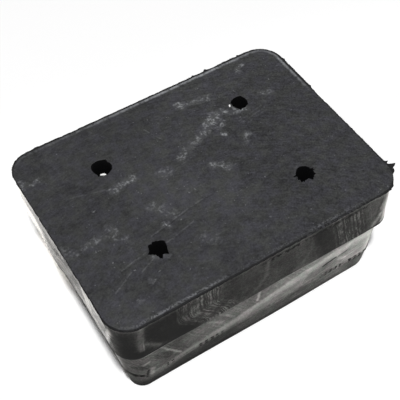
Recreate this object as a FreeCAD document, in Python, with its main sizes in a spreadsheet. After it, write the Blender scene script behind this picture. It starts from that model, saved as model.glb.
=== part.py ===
import FreeCAD, Part
import os

import Sketcher
from FreeCAD import Vector

# Rubber buffer, moulded in one piece: a block with a nearly straight upper tier, a lower tier
# set in under a ledge, a thin trimmed flash at the top face and another round the lower tier,
# and four plain holes through it for screws.
# Millimetres. Origin at the centre of the underside, X along the length, Y along the width,
# +Z up. Every outline is a rounded rectangle centred on the Z axis.

# Driving sizes. Each "run in" is how far a wall comes in from the outline above it to its own
# lower edge, taken on one side.
SIZES = {
    "length": 100.0,            # over the flash of the top face
    "width": 73.7,              # over the flash of the top face
    "height": 40.0,             # underside to top face
    "corner_radius": 8.0,       # of the top face's outline
    "lip_reach": 0.35,          # the top flash beyond the upper wall
    "lip_thickness": 0.6,       # of the top flash
    "upper_run_in": 0.25,       # draft of the upper tier's wall
    "step_height": 21.0,        # underside to ledge
    "ledge_end": 1.0,           # the ledge's depth at the two short ends
    "ledge_side": 0.5,          # the ledge's depth along the two long sides
    "parting_height": 7.6,      # underside to the middle of the lower flash
    "lower_end_run_in": 1.3,    # short ends, ledge to lower flash
    "lower_side_run_in": 0.2,   # long sides, ledge to lower flash
    "foot_end_run_in": 1.0,     # short ends, lower flash to underside
    "foot_side_run_in": 0.4,    # long sides, lower flash to underside
    "flash_reach": 0.35,        # the lower flash beyond the wall
    "flash_thickness": 0.4,     # of the lower flash
    "foot_bevel": 0.5,          # the small bevel round the underside
    "hole_diameter": 6.0,
    "hole_spacing_length": 51.0,
    "hole_spacing_width": 35.5,
}

# Outlines from the top down: name, and what each comes in from the one before it at the ends
# and along the sides. The corner's radius shrinks by as much as the sides come in.
OUTLINES = [
    ("crown", "lip_reach", "lip_reach"),
    ("step", "upper_run_in", "upper_run_in"),
    ("shoulder", "ledge_end", "ledge_side"),
    ("parting", "lower_end_run_in", "lower_side_run_in"),
    ("foot", "foot_end_run_in", "foot_side_run_in"),
    ("sole", "foot_bevel", "foot_bevel"),
]


def fill_sheet(doc):
    """Put the driving sizes, and the outlines worked out from them, into the spreadsheet."""
    sheet = doc.addObject("Spreadsheet::Sheet", "sizes")
    row = 0

    def put(name, content):
        nonlocal row
        row += 1
        sheet.set(f"A{row}", name)
        sheet.set(f"B{row}", content)
        sheet.setAlias(f"B{row}", name)

    for name, value in SIZES.items():
        put(name, str(value))
    outer = ("length", "width", "corner_radius")
    for name, end, side in OUTLINES:
        long_way, short_way, corner = outer
        outer = (name + "_length", name + "_width", name + "_radius")
        put(outer[0], f"={long_way} - 2 * {end}")
        put(outer[1], f"={short_way} - 2 * {side}")
        put(outer[2], f"={corner} - {side}")
    doc.recompute()
    return sheet


def sketch_at(body, name, height):
    """A sketch parallel to the body's XY plane, at a height given as an expression."""
    sketch = body.newObject("Sketcher::SketchObject", name)
    planes = [part for part in body.Origin.OriginFeatures if part.Role == "XY_Plane"]
    sketch.AttachmentSupport = [(planes[0], "")]
    sketch.MapMode = "FlatFace"
    sketch.setExpression("AttachmentOffset.Base.z", height)
    return sketch


def bind(sketch, kind, *where, to):
    """Add one dimension to a sketch and bind it to an expression of the sheet's names."""
    index = sketch.addConstraint(Sketcher.Constraint(kind, *where))
    sketch.setExpression(f"Constraints[{index}]", to)


def rounded_rectangle(body, name, height, long_way, short_way, corner):
    """A centred rounded rectangle; the sizes are expressions."""
    sketch = sketch_at(body, name, height)
    half_x, half_y, radius = 40.0, 30.0, 6.0    # a start, before the constraints set the sizes
    flat_x = half_x - radius
    flat_y = half_y - radius
    up = Vector(0, 0, 1)
    front, right, back, left = sketch.addGeometry([
        Part.LineSegment(Vector(-flat_x, -half_y), Vector(flat_x, -half_y)),
        Part.LineSegment(Vector(half_x, -flat_y), Vector(half_x, flat_y)),
        Part.LineSegment(Vector(flat_x, half_y), Vector(-flat_x, half_y)),
        Part.LineSegment(Vector(-half_x, flat_y), Vector(-half_x, -flat_y)),
    ])
    quarter = 1.5707963267948966
    arcs = []
    for turn, x, y in ((3, flat_x, -flat_y), (0, flat_x, flat_y),
                       (1, -flat_x, flat_y), (2, -flat_x, -flat_y)):
        circle = Part.Circle(Vector(x, y), up, radius)
        arcs.append(sketch.addGeometry(
            Part.ArcOfCircle(circle, turn * quarter, (turn + 1) * quarter)))
    sides = [front, right, back, left]
    for index, arc in enumerate(arcs):
        before = sides[index]
        after = sides[(index + 1) % 4]
        sketch.addConstraint(Sketcher.Constraint("Tangent", before, 2, arc, 1))
        sketch.addConstraint(Sketcher.Constraint("Tangent", arc, 2, after, 1))
    for arc in arcs[1:]:
        sketch.addConstraint(Sketcher.Constraint("Equal", arcs[0], arc))
    sketch.addConstraint(Sketcher.Constraint("Horizontal", back))
    sketch.addConstraint(Sketcher.Constraint("Vertical", left))
    sketch.addConstraint(Sketcher.Constraint("Symmetric", front, 1, front, 2, -2))
    sketch.addConstraint(Sketcher.Constraint("Symmetric", right, 1, right, 2, -1))
    bind(sketch, "DistanceX", left, 1, right, 1, 2 * half_x, to=long_way)
    bind(sketch, "DistanceY", front, 1, back, 1, 2 * half_y, to=short_way)
    bind(sketch, "Radius", arcs[0], radius, to=corner)
    return sketch


def outline(body, name, height):
    """One of the sheet's outlines as a sketch."""
    return rounded_rectangle(body, name + "_outline", height, f"sizes.{name}_length",
                             f"sizes.{name}_width", f"sizes.{name}_radius")


def loft(body, name, sketches):
    """A solid with straight walls from the first outline through the others."""
    feature = body.newObject("PartDesign::AdditiveLoft", name)
    feature.Profile = sketches[0]
    feature.Sections = sketches[1:]
    feature.Ruled = True
    return feature


def pad(body, name, sketch, thickness, centred=False):
    """A plate of the sketch's outline; the thickness is an expression."""
    feature = body.newObject("PartDesign::Pad", name)
    feature.Profile = sketch
    feature.SideType = "Symmetric" if centred else "One side"
    feature.setExpression("Length", thickness)
    return feature


def screw_holes(body):
    """Four holes on a centred rectangle, from the top face through the underside."""
    sketch = sketch_at(body, "hole_circles", "sizes.height")
    up = Vector(0, 0, 1)
    circles = []
    for x, y in ((-20, -15), (20, -15), (20, 15), (-20, 15)):
        circles.append(sketch.addGeometry(Part.Circle(Vector(x, y), up, 2.5)))
    front_left, front_right, back_right, back_left = circles
    across, along = -2, -1      # the sketch's own vertical and horizontal axes
    for one, other, axis in ((front_left, front_right, across),
                             (front_left, back_left, along),
                             (front_right, back_right, along)):
        sketch.addConstraint(Sketcher.Constraint("Symmetric", one, 3, other, 3, axis))
    for circle in circles[1:]:
        sketch.addConstraint(Sketcher.Constraint("Equal", front_left, circle))
    bind(sketch, "DistanceX", front_left, 3, front_right, 3, 40.0, to="sizes.hole_spacing_length")
    bind(sketch, "DistanceY", front_left, 3, back_left, 3, 30.0, to="sizes.hole_spacing_width")
    bind(sketch, "Diameter", front_left, 5.0, to="sizes.hole_diameter")
    feature = body.newObject("PartDesign::Pocket", "screw_holes")
    feature.Profile = sketch
    feature.Type = "ThroughAll"
    return feature


def buffer_block(doc):
    """The whole buffer, one solid."""
    body = doc.addObject("PartDesign::Body", "buffer_block")
    body.Label = "buffer_block"
    loft(body, "lower_tier", [outline(body, "sole", "0"),
                              outline(body, "foot", "sizes.foot_bevel"),
                              outline(body, "parting", "sizes.parting_height"),
                              outline(body, "shoulder", "sizes.step_height")])
    loft(body, "upper_tier", [outline(body, "step", "sizes.step_height"),
                              outline(body, "crown", "sizes.height")])
    lip = rounded_rectangle(body, "lip_outline", "sizes.height - sizes.lip_thickness",
                            "sizes.length", "sizes.width", "sizes.corner_radius")
    pad(body, "top_flash", lip, "sizes.lip_thickness")
    seam = rounded_rectangle(body, "seam_outline", "sizes.parting_height",
                             "sizes.parting_length + 2 * sizes.flash_reach",
                             "sizes.parting_width + 2 * sizes.flash_reach",
                             "sizes.parting_radius + sizes.flash_reach")
    pad(body, "lower_flash", seam, "sizes.flash_thickness", centred=True)
    doc.recompute()
    solid_volume = body.Shape.Volume
    screw_holes(body)
    doc.recompute()
    sheet = doc.getObject("sizes")
    bore_area = 3.141592653589793 * (sheet.get("hole_diameter") / 2) ** 2
    expected = solid_volume - 4 * bore_area * sheet.get("height")
    if abs(body.Shape.Volume - expected) > 0.001 * solid_volume:
        raise RuntimeError("the screw holes don't go right through")
    body.Placement = FreeCAD.Placement()
    return body


def main():
    os.makedirs("parts", exist_ok=True)
    doc = FreeCAD.newDocument("rubber_buffer")
    fill_sheet(doc)
    nodes = [buffer_block(doc)]
    doc.recompute()
    for item in doc.Objects:
        if {"Invalid", "Error"} & set(item.State):
            raise RuntimeError(f"{item.Name} failed: {item.State}")
    for node in nodes:
        if node.Shape.isNull() or not node.Shape.isValid():
            raise RuntimeError(f"{node.Label} has no valid shape")
        node.Shape.exportStep(f"parts/{node.Label}.step")
        print(node.Label, len(node.Shape.Solids), "solid,", round(node.Shape.Volume), "mm3,",
              node.Shape.BoundBox)


main()
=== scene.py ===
"""Looks of the moulded rubber buffer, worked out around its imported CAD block.

The buffer is one moulding of black rubber. A thick upper tier stands over a slightly smaller lower tier, a
thin line of flash runs round the top edge and another round the lower tier, and four screw holes go through.
"""
import bmesh
import bpy
import numpy as np
from mathutils import Matrix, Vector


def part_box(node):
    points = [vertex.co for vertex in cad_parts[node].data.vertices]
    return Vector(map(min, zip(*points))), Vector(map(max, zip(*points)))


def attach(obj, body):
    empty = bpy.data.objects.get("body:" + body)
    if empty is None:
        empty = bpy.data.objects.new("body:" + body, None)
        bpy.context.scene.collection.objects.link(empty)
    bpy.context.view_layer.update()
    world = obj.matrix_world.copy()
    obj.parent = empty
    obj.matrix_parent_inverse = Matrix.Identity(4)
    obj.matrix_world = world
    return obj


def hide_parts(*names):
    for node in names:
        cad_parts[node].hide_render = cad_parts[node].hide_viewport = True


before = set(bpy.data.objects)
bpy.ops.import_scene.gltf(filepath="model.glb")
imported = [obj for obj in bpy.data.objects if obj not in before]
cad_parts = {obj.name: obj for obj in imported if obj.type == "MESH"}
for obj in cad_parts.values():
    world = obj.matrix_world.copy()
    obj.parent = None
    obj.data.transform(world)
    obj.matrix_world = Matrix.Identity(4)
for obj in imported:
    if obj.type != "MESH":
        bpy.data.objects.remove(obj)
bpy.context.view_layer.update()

MM = 0.001
block_low, block_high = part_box("buffer_block")
HALF_LENGTH = (block_high.x - block_low.x) / 2 / MM
HALF_WIDTH = (block_high.y - block_low.y) / 2 / MM
HEIGHT = (block_high.z - block_low.z) / MM

# Sizes of the moulding in millimetres, as the CAD has them.
STEP_HEIGHT = 21.0
PARTING_HEIGHT = 7.6
HOLE_RADIUS = 3.0
HOLE_X = 25.5
HOLE_Y = 17.75
CORNER_RADIUS = 8.0
# The side is drawn in rows no further apart than this.
ROW_SPACING = 1.25
# Half the height of the torn lip round the top, of the lower flash and of the scar under the lip.
LIP_HALF_HEIGHT = 0.28
FIN_HALF_HEIGHT = 0.16
SCAR_HALF_HEIGHT = 0.30
# How fast a hole's torn rim and its drift from the drawn place fade with depth, as exp(-depth/fade).
RIM_FADE = 1.6
DRIFT_FADE = 12.0
# Points of one face and the next that lie this close, in metres, are one point.
SEAM_GAP = 2e-7

# Corners in the order front right, back right, back left, front left.
CORNER_SIGNS = np.array([(1, -1), (1, 1), (-1, 1), (-1, -1)])
# Columns to a section, in the order front edge, front right corner, right edge, and so on round.
SECTION_COLUMNS = np.array([360, 48, 160, 40, 240, 40, 220, 48])
# How far each corner is trimmed from a quarter circle towards its flat chord.
CORNER_FLATNESS = np.array([0.26, 0.0, 0.0, 0.0])
# How much tighter each corner is than the drawn radius, in millimetres.
CORNER_TRIM = np.array([0.9, 0.2, 0.7, 0.0])

# The profile from the flat of the top down to the flat of the underside, one row a line:
# height, run in at the two ends, run in at the two sides, corner radius.
PROFILE = np.array([
    (HEIGHT, 3.00, 3.00, 5.00),
    (HEIGHT, 1.60, 1.60, 6.40),
    (HEIGHT + 0.01, 0.95, 0.95, 7.05),
    (HEIGHT + 0.04, 0.55, 0.55, 7.45),
    (HEIGHT + 0.02, 0.25, 0.25, 7.75),
    (HEIGHT - 0.08, 0.04, 0.04, 7.96),
    (HEIGHT - 0.30, 0.00, 0.00, 8.00),
    (HEIGHT - 0.55, 0.06, 0.06, 7.94),
    (HEIGHT - 0.75, 0.36, 0.36, 7.64),
    (HEIGHT - 1.00, 0.44, 0.44, 7.56),
    (HEIGHT - 1.40, 0.38, 0.38, 7.62),
    (STEP_HEIGHT + 0.45, 0.60, 0.60, 7.40),
    (STEP_HEIGHT + 0.12, 0.68, 0.68, 7.32),
    (STEP_HEIGHT, 0.95, 0.90, 7.10),
    (STEP_HEIGHT - 0.02, 1.45, 1.02, 6.98),
    (STEP_HEIGHT - 0.25, 1.62, 1.12, 6.88),
    (PARTING_HEIGHT + 0.45, 2.87, 1.30, 6.70),
    (PARTING_HEIGHT + 0.22, 2.84, 1.22, 6.78),
    (PARTING_HEIGHT + 0.14, 2.58, 0.96, 7.04),
    (PARTING_HEIGHT - 0.14, 2.58, 0.96, 7.04),
    (PARTING_HEIGHT - 0.22, 2.88, 1.26, 6.74),
    (PARTING_HEIGHT - 0.45, 2.95, 1.32, 6.68),
    (0.60, 3.87, 1.67, 6.31),
    (0.28, 3.93, 1.73, 6.25),
    (0.08, 4.03, 1.83, 6.15),
    (0.00, 4.20, 2.00, 5.98),
    (0.00, 6.50, 4.50, 3.50),
])
LIP_ROW_HEIGHT = HEIGHT - 0.30

# Torn bits of flash that stand out of the top edge: x, y, reach, half the length of the foot.
TOP_BURRS = np.array([
    (20.0, HALF_WIDTH, 0.50, 0.7),
    (25.0, HALF_WIDTH, 0.80, 0.8),
    (38.0, HALF_WIDTH, 0.50, 0.5),
    (-38.0, HALF_WIDTH, 0.35, 1.2),
    (HALF_LENGTH, 12.0, 0.45, 0.6),
    (HALF_LENGTH, 27.0, 0.40, 0.7),
    (HALF_LENGTH, -26.7, 1.05, 0.5),
    (HALF_LENGTH, -28.6, 2.35, 1.0),
])
# A torn bit of the lower flash, by the front right corner.
FIN_BURRS = np.array([
    (44.9, -36.3, 0.55, 0.7),
])
# Where the top's flash stands further out or less far than elsewhere, then where the upper tier's own side
# does: x, y, how far, and half the length over which it does so.
LIP_SWELLS = np.array([
    (0.0, HALF_WIDTH, 0.17, 50.0),
    (-36.0, HALF_WIDTH, 0.20, 6.0),
    (36.0, HALF_WIDTH, 0.18, 6.0),
    (HALF_LENGTH, 20.0, 0.28, 10.0),
    (-HALF_LENGTH, 32.0, -0.20, 5.0),
    (-HALF_LENGTH, 0.0, -0.14, 28.0),
    (48.1, -34.0, -0.06, 2.7),
    (45.0, -36.2, 0.30, 1.7),
    (49.9, -30.2, 0.70, 1.5),
])
TIER_SWELLS = np.array([
    (-HALF_LENGTH, 2.0, -0.25, 30.0),
])
# Where the upper tier bellies out low down, just above the step.
BELLY_SWELLS = np.array([
    (-HALF_LENGTH, 8.5, 0.65, 6.5),
])


def smooth_step(low, high, value):
    """Nought below low, one above high, and 3t*t - 2t*t*t between, t being the way from low to high."""
    t = np.clip((value - low) / (high - low), 0.0, 1.0)
    return t * t * (3.0 - 2.0 * t)


def refined_rows(profile, spacing):
    """The profile's rows, with more put in between them wherever two lie further apart than the spacing.

    A row's place is its distance down the profile's line, height and side run-in taken together, and each
    added row is on the straight line between its neighbours.
    """
    steps = np.hypot(np.diff(profile[:, 0]), np.diff(profile[:, 2]))
    place = np.concatenate([[0.0], np.cumsum(steps)])
    counts = np.maximum(1, np.ceil(steps / spacing).astype(int))
    wanted = np.concatenate([
        np.linspace(start, end, count, endpoint=False)
        for start, end, count in zip(place[:-1], place[1:], counts)
    ] + [place[-1:]])
    return np.stack([np.interp(wanted, place, profile[:, k]) for k in range(profile.shape[1])], axis=1)


def columns_round(counts):
    """Each column's section number, and how far along that section it lies, from nought to just under one."""
    section = np.repeat(np.arange(len(counts)), counts)
    fraction = np.concatenate([np.arange(count) / count for count in counts])
    return section, fraction


SECTION, FRACTION = columns_round(SECTION_COLUMNS)
COLUMN_COUNT = len(SECTION)
SECTION_START = np.concatenate([[0], np.cumsum(SECTION_COLUMNS)[:-1]])
IS_CORNER = SECTION % 2 == 1
CORNER = SECTION // 2
CORNER_ANGLE = (CORNER - 1 + FRACTION) * np.pi / 2
EDGE_NORMALS = np.array([(0.0, -1.0), (1.0, 0.0), (0.0, 1.0), (-1.0, 0.0)])
OUTWARD = np.where(
    IS_CORNER[:, None],
    np.stack([np.cos(CORNER_ANGLE), np.sin(CORNER_ANGLE)], axis=1),
    EDGE_NORMALS[CORNER],
)


def rounded_ring(half_length, half_width, radii, flatness):
    """A rounded rectangle, one point to a column, counter-clockwise from the front edge's left end.

    A corner's column lies on a quarter circle about the corner's centre, drawn towards the chord between the
    quarter's two ends by that corner's flatness. A straight edge's column lies on the line between the end
    of the corner before it and the start of the corner after it, at its own fraction of the way.
    """
    centres = CORNER_SIGNS * (np.array([half_length, half_width]) - radii[:, None])
    starts = centres + radii[:, None] * EDGE_NORMALS
    ends = centres + radii[:, None] * np.roll(EDGE_NORMALS, -1, axis=0)
    before = np.roll(ends, 1, axis=0)
    along = FRACTION[:, None]
    straight = before[CORNER] * (1.0 - along) + starts[CORNER] * along
    arc = centres[CORNER] + radii[CORNER][:, None] * OUTWARD
    chord = starts[CORNER] * (1.0 - along) + ends[CORNER] * along
    bend = arc + (chord - arc) * flatness[CORNER][:, None]
    return np.where(IS_CORNER[:, None], bend, straight)


OUTLINE = rounded_ring(HALF_LENGTH, HALF_WIDTH, np.full(4, CORNER_RADIUS), CORNER_FLATNESS)
ROUND = np.concatenate([[0.0], np.cumsum(np.hypot(*np.diff(OUTLINE, axis=0).T))])
GIRTH = ROUND[-1] + np.hypot(*(OUTLINE[0] - OUTLINE[-1]))


def ragged(place, spacing, seed):
    """Uneven heights from nought to one along a closed line, as one row of torn edge.

    Random heights stand at even spacing round the line, and between two of them the height follows the cubic
    step from the one to the other.
    """
    count = max(3, int(round(GIRTH / spacing)))
    heights = np.random.default_rng(seed).random(count)
    cell = place / GIRTH * count
    lower = np.floor(cell).astype(int)
    blend = smooth_step(0.0, 1.0, cell - lower)
    return heights[lower % count] * (1.0 - blend) + heights[(lower + 1) % count] * blend


def off_places(table):
    """How far each column lies from each of a table's places, in half widths of that place's own bump."""
    away = np.hypot(*(OUTLINE[:, None, :] - table[None, :, :2]).transpose(2, 0, 1))
    return away / table[:, 3]


def swells(table):
    """How far a side stands out at each column: the sum of humps, each reach times exp(-(away/half)^4)."""
    return (table[:, 2] * np.exp(-off_places(table) ** 4)).sum(axis=1)


def burrs(table):
    """How far torn flash stands out at each column.

    Every burr is a straight-sided tooth: its full reach at its own place, and nothing half its foot away.
    """
    teeth = table[:, 2] * np.clip(1.0 - off_places(table), 0.0, 1.0)
    return teeth.max(axis=1)


def wall_rings(rows):
    """The side's points before it is swelled or torn: one rounded rectangle a row, run in as the row says.

    The corners are tighter than drawn higher up. The front right one is flatter and tighter above the step
    and rounder below it, and the front left one is tighter near the foot.
    """
    points = np.empty((len(rows), COLUMN_COUNT, 3))
    for number, (level, end_run, side_run, radius) in enumerate(rows):
        radii = np.full(4, radius) - CORNER_TRIM * smooth_step(STEP_HEIGHT - 6.0, HEIGHT, level)
        radii[3] -= 1.8 * smooth_step(14.0, 1.0, level)
        if level < STEP_HEIGHT - 0.1:
            radii[0] += 1.2 + 0.5 * smooth_step(18.0, 14.0, level)
        else:
            radii[0] -= 1.5 * smooth_step(29.0, 21.0, level)
        flatness = CORNER_FLATNESS * smooth_step(28.0, 38.0, level)
        points[number, :, :2] = rounded_ring(HALF_LENGTH - end_run, HALF_WIDTH - side_run, radii, flatness)
        points[number, :, 2] = level
    return points


def wall_grid():
    """The moulding's side as a grid, rows down the profile and columns round the outline, in millimetres.

    Each ring is moved along the outward direction by a sum: two slow sines round the outline, a bell curve
    along the front that bows its foot, a bell curve in height times the torn reach for either flash line,
    and the upper tier's own swells, less a bell curve in height times the depth of the scar.
    """
    rows = refined_rows(PROFILE, ROW_SPACING)
    height = rows[:, 0][:, None]
    # The slow swell of the sides, which spares the foot and the top edge.
    swell = 0.05 * np.sin(ROUND / 7.3 + height / 5.0) + 0.04 * np.sin(ROUND / 3.1 - height / 3.7 + 1.0)
    walls_only = smooth_step(0.0, 3.0, height) * (1.0 - smooth_step(HEIGHT - 4.0, HEIGHT - 2.0, height))
    out = swell * walls_only
    # The foot of the front, bowed outwards a little right of the middle.
    bow = np.exp(-((OUTLINE[:, 0] - 8.0) / 24.0) ** 2) * (OUTLINE[:, 1] < -HALF_WIDTH + 1.0)
    out = out + 0.30 * bow * smooth_step(9.0, 1.0, height)
    # The torn lip round the top.
    lip = np.exp(-((height - LIP_ROW_HEIGHT) / LIP_HALF_HEIGHT) ** 2) * (rows[:, 2] < 0.6)[:, None]
    torn_lip = -0.18 * ragged(ROUND, spacing=1.1, seed=3) ** 2 - 0.10 * ragged(ROUND, spacing=0.45, seed=4)
    out = out + lip * (0.45 + torn_lip + swells(LIP_SWELLS) + burrs(TOP_BURRS))
    # The upper tier's swells, and its belly low down.
    above_step = smooth_step(STEP_HEIGHT - 0.2, STEP_HEIGHT, height)
    out = out + swells(TIER_SWELLS) * above_step
    out = out + swells(BELLY_SWELLS) * (above_step * smooth_step(36.0, 24.0, height))
    # The torn lower flash.
    fin = np.exp(-((height - PARTING_HEIGHT) / FIN_HALF_HEIGHT) ** 4)
    torn_fin = -0.30 * (1.0 - ragged(ROUND, spacing=0.9, seed=5) ** 2)
    out = out + fin * (torn_fin + burrs(FIN_BURRS))
    # The scar under the lip, at a wandering height, deepest on the front's right half.
    scar_mask = smooth_step(-4.0, 4.0, OUTLINE[:, 0]) * (OUTLINE[:, 1] < 0) + 0.25
    scar_height = HEIGHT - 1.9 - 0.5 * ragged(ROUND, spacing=3.0, seed=6)
    scar = np.exp(-((height - scar_height) / SCAR_HALF_HEIGHT) ** 2)
    out = out - 0.22 * scar * scar_mask * ragged(ROUND, spacing=0.6, seed=7)
    points = wall_rings(rows)
    points[:, :, :2] += out[:, :, None] * OUTWARD[None, :, :]
    return points


# Each hole: its drawn centre, how far off it the drill came in, the seed of its fine unevenness, and its torn
# rim as angle in degrees and radius in millimetres, counter-clockwise from the right.
HOLES = (
    dict(centre=(HOLE_X, -HOLE_Y), drift=(0.9, 0.0), seed=21, rim={
        0: 3, 5: 3.9, 10: 3, 16: 2.8, 30: 2.85, 45: 3, 60: 2.9, 75: 2.95, 90: 2.95, 105: 2.85, 120: 2.75,
        135: 2.6, 150: 2.7, 161: 2.75, 166: 3.7, 170: 3.6, 173: 2.7, 180: 2.55, 190: 2.85, 198: 3.35,
        206: 2.9, 212: 3.1, 221: 3.7, 228: 3, 234: 3.4, 240: 2.65, 250: 2.5, 260: 2.35, 268: 2.1,
        276: 2.6, 283: 3.45, 291: 3.4, 298: 3, 306: 3.25, 314: 3, 326: 3.55, 334: 3.1, 344: 3.1, 352: 3,
        356: 4.1,
    }),
    dict(centre=(HOLE_X, HOLE_Y), drift=(0.7, 0.4), seed=22, rim={
        0: 2.75, 15: 2.75, 30: 2.8, 42: 3.05, 52: 3.15, 62: 3, 75: 2.85, 90: 2.7, 105: 2.65, 120: 2.8,
        135: 2.8, 150: 2.8, 165: 2.65, 180: 2.55, 195: 2.5, 210: 2.6, 225: 2.65, 236: 2.85, 246: 3.2,
        254: 2.9, 262: 2.55, 272: 2.8, 285: 2.75, 298: 2.65, 308: 2.8, 318: 2.9, 330: 2.8, 345: 2.75,
    }),
    dict(centre=(-HOLE_X, HOLE_Y), drift=(0.5, 0.6), seed=23, rim={
        0: 3.1, 12: 3.05, 24: 2.85, 34: 3.2, 42: 3.5, 50: 3.35, 62: 3.2, 75: 3.2, 90: 3.2, 105: 3.3,
        118: 3.4, 130: 3.5, 142: 3.5, 155: 3.35, 168: 3.2, 180: 3.1, 195: 3.1, 208: 3, 218: 3.2,
        225: 3.65, 230: 3.3, 233: 2.5, 242: 2.3, 254: 2.3, 265: 2.5, 269: 3.1, 274: 3.55, 279: 3.2,
        290: 3.1, 302: 3.1, 316: 3.2, 330: 3.2, 345: 3.2,
    }),
    dict(centre=(-HOLE_X, -HOLE_Y), drift=(0.2, 0.3), seed=24, rim={
        0: 2.55, 10: 2.65, 20: 2.85, 30: 3.15, 40: 3.1, 55: 2.9, 68: 2.75, 78: 2.95, 88: 2.9, 97: 3.15,
        103: 3.1, 110: 2.7, 120: 3.2, 129: 3.45, 138: 3.1, 150: 2.95, 165: 2.9, 173: 3.2, 179: 3.7,
        186: 3.3, 194: 2.7, 205: 2.5, 216: 2.2, 228: 2.45, 238: 2.65, 246: 3.3, 252: 3.3, 257: 3.65,
        264: 2.9, 270: 2.4, 281: 2.35, 290: 2.75, 298: 3.55, 305: 3.1, 314: 2.8, 326: 2.45, 340: 2.4,
        350: 2.5,
    }),
)


def rim_radius(angle, hole, depth):
    """The hole's radius at an angle and a depth under the top.

    At the top it follows straight lines between the rim's drawn points, plus fine unevenness. The difference
    from the drilled radius fades with depth, and by 6 mm down the bore is round and of the drilled size.
    """
    fade = np.exp(-depth / RIM_FADE)
    turn = np.degrees(angle) % 360.0
    at_rim = np.interp(turn, list(hole["rim"]), list(hole["rim"].values()), period=360.0)
    around = turn / 360.0 * GIRTH
    at_rim = at_rim + 0.10 * (ragged(around, 5.0, hole["seed"]) - 0.5)
    return HOLE_RADIUS + (at_rim - HOLE_RADIUS) * fade


def hole_middle(hole, depth):
    """The hole's middle at a depth: at the top it is off by its drift, which fades on the way down."""
    return np.array(hole["centre"]) + np.array(hole["drift"]) * np.exp(-depth / DRIFT_FADE)


def hole_outline(hole, angle, depth):
    """The hole's edge at a depth: from its middle, each angle's own radius along that angle."""
    radius = rim_radius(angle, hole, depth)
    return hole_middle(hole, depth) + radius[:, None] * np.stack([np.cos(angle), np.sin(angle)], axis=1)


def quadrant_columns(number):
    """The wall's columns from the middle of one edge round a corner to the middle of the next edge."""
    start = SECTION_START[2 * number] + SECTION_COLUMNS[2 * number] // 2
    after = (2 * number + 2) % 8
    end = SECTION_START[after] + SECTION_COLUMNS[after] // 2
    if end < start:
        end += COLUMN_COUNT
    return np.arange(start, end + 1) % COLUMN_COUNT


def quadrant_loop(ring, number):
    """A closed line round a quarter of a flat face: along the wall's ring, in to the centre, out again."""
    outer = ring[quadrant_columns(number)]
    centre = np.array([0.0, 0.0, outer[0, 2]])
    inward = outer[-1] + (centre - outer[-1]) * np.linspace(0.0, 1.0, 41)[1:, None]
    outward = centre + (outer[0] - centre) * np.linspace(0.0, 1.0, 41)[1:-1, None]
    return np.concatenate([outer, inward, outward])


def pierced_grid(ring, number, depth, rows):
    """One quarter of a flat face with its screw hole, as rows from the rim out to the quarter's own outline.

    A rim point lies from the hole's middle in the direction of its partner on the outline. Rows between the
    two stand closer together near the rim, as the way from the one to the other taken to the power 1.8.
    """
    loop = quadrant_loop(ring, number)
    from_middle = loop[:, :2] - hole_middle(HOLES[number], depth)
    angle = np.arctan2(from_middle[:, 1], from_middle[:, 0])
    rim = np.column_stack([hole_outline(HOLES[number], angle, depth), loop[:, 2]])
    way = (np.linspace(0.0, 1.0, rows) ** 1.8)[:, None, None]
    return rim[None] * (1.0 - way) + loop[None] * way, angle


def bore_grid(number, top_rim, top_angle, low_rim):
    """One screw hole's wall, rows from the rim on the top down to the rim on the underside.

    Each row is the hole's outline at its own depth, and the last one is the underside's own rim.
    """
    rows = [top_rim]
    for depth in (0.12, 0.4, 0.9, 1.8, 3.2, 6.0, 14.0, 27.0):
        outline = hole_outline(HOLES[number], top_angle, depth)
        rows.append(np.column_stack([outline, np.full(len(outline), HEIGHT - depth)]))
    return np.stack(rows + [low_rim])


def grid_faces(rows, columns, start, flipped):
    """Corner numbers of a grid's four-sided faces, closed round the columns, counting from a start number."""
    row, column = np.meshgrid(np.arange(rows - 1), np.arange(columns), indexing="ij")
    beside = (column + 1) % columns
    corners = np.stack([
        row * columns + column,
        (row + 1) * columns + column,
        (row + 1) * columns + beside,
        row * columns + beside,
    ], axis=-1).reshape(-1, 4)
    if flipped:
        corners = corners[:, ::-1]
    return corners + start


def new_piece(name, points, faces, slots, materials):
    """One mesh object at the origin, its points in metres, with each face's material slot number."""
    mesh = bpy.data.meshes.new(name)
    mesh.from_pydata((points * MM).tolist(), [], faces.tolist())
    for material in materials:
        mesh.materials.append(material)
    mesh.polygons.foreach_set("material_index", slots.astype(np.int32))
    cleaned = bmesh.new()
    cleaned.from_mesh(mesh)
    bmesh.ops.remove_doubles(cleaned, verts=cleaned.verts, dist=SEAM_GAP)
    bmesh.ops.recalc_face_normals(cleaned, faces=cleaned.faces)
    cleaned.to_mesh(mesh)
    cleaned.free()
    mesh.polygons.foreach_set("use_smooth", np.ones(len(mesh.polygons), dtype=bool))
    piece = bpy.data.objects.new(name, mesh)
    bpy.context.scene.collection.objects.link(piece)
    return piece


def linear(text):
    """An sRGB colour in hex, as the linear colour that a shader takes."""
    part = np.array([int(text[k:k + 2], 16) for k in (0, 2, 4)]) / 255.0
    part = np.where(part <= 0.04045, part / 12.92, ((part + 0.055) / 1.055) ** 2.4)
    return (*part.tolist(), 1.0)


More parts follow.
